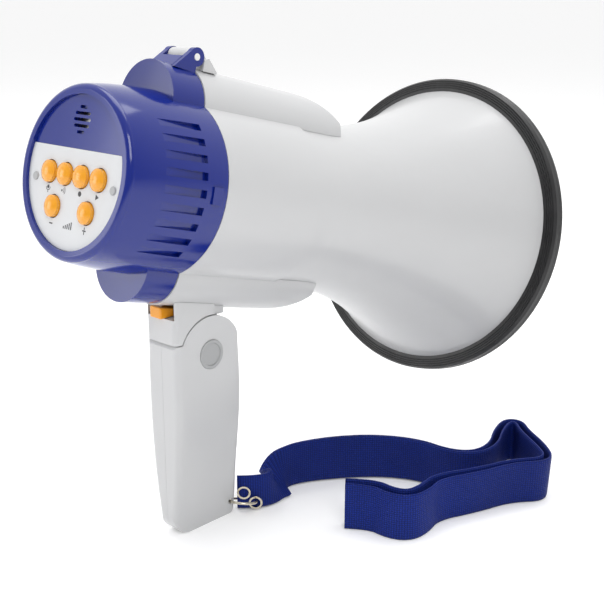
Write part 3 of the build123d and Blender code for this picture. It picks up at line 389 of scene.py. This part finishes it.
def ribbon(name):
    """Closed loop of webbing lying double: out along one side of the line, back along the other."""
    stations = [(index, 1) for index in range(len(points))]
    stations += [(index, -1) for index in reversed(range(len(points)))]
    form = bmesh.new()
    weave = form.loops.layers.uv.new("weave")
    rings = []
    run, previous = 0.0, None
    for index, side in stations:
        place, ring = ply_section(index, side)
        if previous is not None:
            run += (place - previous).length
        previous = place
        rings.append(([form.verts.new(co) for co, _ in ring],
                      [(run / MM, share * STRAP_WIDTH_MM) for _, share in ring]))
    for (first, first_uv), (second, second_uv) in zip(rings, rings[1:]):
        for corner in range(len(first)):
            after = (corner + 1) % len(first)
            face = form.faces.new((first[corner], first[after], second[after], second[corner]))
            face.smooth = True
            corners = first_uv[corner], first_uv[after], second_uv[after], second_uv[corner]
            for loop, uv in zip(face.loops, corners):
                loop[weave].uv = uv
    form.faces.new(rings[0][0][::-1])
    form.faces.new(rings[-1][0])
    return finished(name, form)


strap = piece("strap_webbing", ribbon("strap_webbing"), materials["webbing"], None)
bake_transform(strap)
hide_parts("wrist_strap")

# ------------------------------------------------------------------ marks on the face plate
# places are (x, rise) in millimetres from the middle of the cap's face
PLATE_FRONT = 1.4                      # the plate's face, forward of the cap's rear edge
INK_SUNK, INK_PROUD = 0.02, 0.04
INK = moulded("mark_ink", (0.03, 0.03, 0.035), 0.5, grain=0.1)
MARK_RISE = -7.6                       # the row of marks under the four upper keys
TALK_X, SIREN_X, RECORD_X, PLAY_X = 16, 6.7, -5, -16
VOLUME_X, VOLUME_RISE = 11, -21.2      # minus and plus, either side of the level wedge
STROKE = 0.5


def flat_mark(name, outlines):
    """Printed mark: thin shapes on the plate, given as outlines in (x, rise) millimetres."""
    form = bmesh.new()
    for outline in outlines:
        low = [form.verts.new(head_point(PLATE_FRONT + INK_SUNK, rise, x)) for x, rise in outline]
        high = [form.verts.new(head_point(PLATE_FRONT - INK_PROUD, rise, x)) for x, rise in outline]
        form.faces.new(high)
        form.faces.new(low[::-1])
        for index in range(len(outline)):
            after = (index + 1) % len(outline)
            form.faces.new((low[index], low[after], high[after], high[index]))
    return piece(name, finished(name, form), INK, "cap")


def bar(x, rise, width, height):
    half_w, half_h = width / 2, height / 2
    return [(x - half_w, rise - half_h), (x + half_w, rise - half_h),
            (x + half_w, rise + half_h), (x - half_w, rise + half_h)]


def sweep(x, rise, radius, turns):
    return [(x + radius * cos(turn), rise + radius * sin(turn)) for turn in turns]


def disc(x, rise, radius, corners=24):
    return sweep(x, rise, radius, [2 * pi * k / corners for k in range(corners)])


def arc(x, rise, radius, width, start, end, steps=10):
    turns = [radians(start + (end - start) * k / steps) for k in range(steps + 1)]
    return (sweep(x, rise, radius + width / 2, turns)
            + sweep(x, rise, radius - width / 2, turns)[::-1])


flat_mark("mark_minus", [bar(VOLUME_X, VOLUME_RISE, 2.2, STROKE)])
flat_mark("mark_plus", [bar(-VOLUME_X, VOLUME_RISE, 2.2, STROKE)] +
          [bar(-VOLUME_X, VOLUME_RISE + step, STROKE, 1.1) for step in (0.9, -0.9)])
flat_mark("mark_level", [bar(2.4 - step * 1.2, -21.6 + step * 0.25, 0.6, 1.0 + step * 0.5)
                         for step in range(5)])
flat_mark("mark_talk", [disc(TALK_X, MARK_RISE + 0.4, 0.75),
                        arc(TALK_X, MARK_RISE + 0.4, 1.35, 0.3, 180, 360),
                        bar(TALK_X, MARK_RISE - 1.5, 0.35, 0.7)])
flat_mark("mark_siren", [disc(SIREN_X, MARK_RISE, 0.45)] +
          [arc(SIREN_X, MARK_RISE, radius, 0.3, 140, 220) for radius in (1.3, 2.1)])
flat_mark("mark_record", [disc(RECORD_X, MARK_RISE, 1.05)])
flat_mark("mark_play", [[(PLAY_X + 0.9, MARK_RISE + 1.1), (PLAY_X + 0.9, MARK_RISE - 1.1),
                         (PLAY_X - 1.1, MARK_RISE)]])

# ------------------------------------------------------------------ floor, light and camera
FLOOR_REACH = 30
ROOM_BRIGHT_TOWARD = (0.66, -0.70, 0.28)
ROOM_DIM, ROOM_BRIGHT = 0.36, 1.12
MIDDLE = (0, 0, 0.12)
SOFTBOXES = (                          # name, place, size in metres, watts
    ("key", (-0.9, 0.7, 1.2), (0.7, 0.7), 9),
    ("face", (0.95, 1.25, 0.35), (0.7, 0.9), 5),
    ("top", (0.2, -0.2, 1.4), (1.2, 0.8), 9),
)
CAMERA_TARGET = Vector((-10.1, 4.3, 96.7)) * MM
CAMERA_DISTANCE = 0.5169
CAMERA_AZIMUTH = radians(223.1)
CAMERA_ELEVATION = radians(16.33)
LENS, SENSOR_WIDTH = 64.4, 36


def place_in_scene(name, data):
    obj = bpy.data.objects.new(name, data)
    bpy.context.collection.objects.link(obj)
    return obj


def add_floor():
    """Plain white paper."""
    mesh = bpy.data.meshes.new("floor")
    corners = [(-FLOOR_REACH, -FLOOR_REACH, 0), (FLOOR_REACH, -FLOOR_REACH, 0),
               (FLOOR_REACH, FLOOR_REACH, 0), (-FLOOR_REACH, FLOOR_REACH, 0)]
    mesh.from_pydata(corners, [], [(0, 1, 2, 3)])
    paint = Graph("floor_paper")
    paint.set(Base_Color=(0.95, 0.95, 0.952), Roughness=0.8, Emission_Color=(1, 1, 1),
              Emission_Strength=0.12)
    mesh.materials.append(paint.material)
    place_in_scene("floor", mesh)


def add_room():
    """White room: bright behind the object and overhead, dimmer where the rear cap faces."""
    world = bpy.data.worlds.new("studio")
    bpy.context.scene.world = world
    world.use_nodes = True
    nodes, links = world.node_tree.nodes, world.node_tree.links
    direction = nodes.new("ShaderNodeTexCoord")
    toward = nodes.new("ShaderNodeVectorMath")
    toward.operation = "DOT_PRODUCT"
    toward.inputs[1].default_value = ROOM_BRIGHT_TOWARD
    links.new(direction.outputs["Generated"], toward.inputs[0])
    level = nodes.new("ShaderNodeMapRange")
    level.interpolation_type = "SMOOTHSTEP"
    limits = {"From Min": -0.75, "From Max": 0.75, "To Min": ROOM_DIM, "To Max": ROOM_BRIGHT}
    for name, number in limits.items():
        level.inputs[name].default_value = number
    links.new(toward.outputs["Value"], level.inputs["Value"])
    links.new(level.outputs[0], nodes["Background"].inputs["Strength"])
    nodes["Background"].inputs["Color"].default_value = (1, 1, 1, 1)


def softbox(name, place, size, power):
    """Rectangular lamp that faces the middle of the object."""
    light = bpy.data.lights.new(name, "AREA")
    light.shape = "RECTANGLE"
    light.size, light.size_y = size
    light.energy = power
    obj = place_in_scene(name, light)
    obj.location = place
    obj.rotation_euler = (Vector(MIDDLE) - Vector(place)).to_track_quat("-Z", "Y").to_euler()


def add_camera():
    """Seen from behind and a little above, on the side where the strap lies."""
    back = Vector((sin(CAMERA_AZIMUTH) * cos(CAMERA_ELEVATION),
                   -cos(CAMERA_AZIMUTH) * cos(CAMERA_ELEVATION), sin(CAMERA_ELEVATION)))
    data = bpy.data.cameras.new("camera")
    data.sensor_width = SENSOR_WIDTH
    data.lens = LENS
    camera = place_in_scene("camera", data)
    camera.location = CAMERA_TARGET + back * CAMERA_DISTANCE
    camera.rotation_euler = back.to_track_quat("Z", "Y").to_euler()
    bpy.context.scene.camera = camera


add_floor()
add_room()
for lamp in SOFTBOXES:
    softbox(*lamp)
add_camera()
bpy.context.scene.view_settings.view_transform = "Standard"
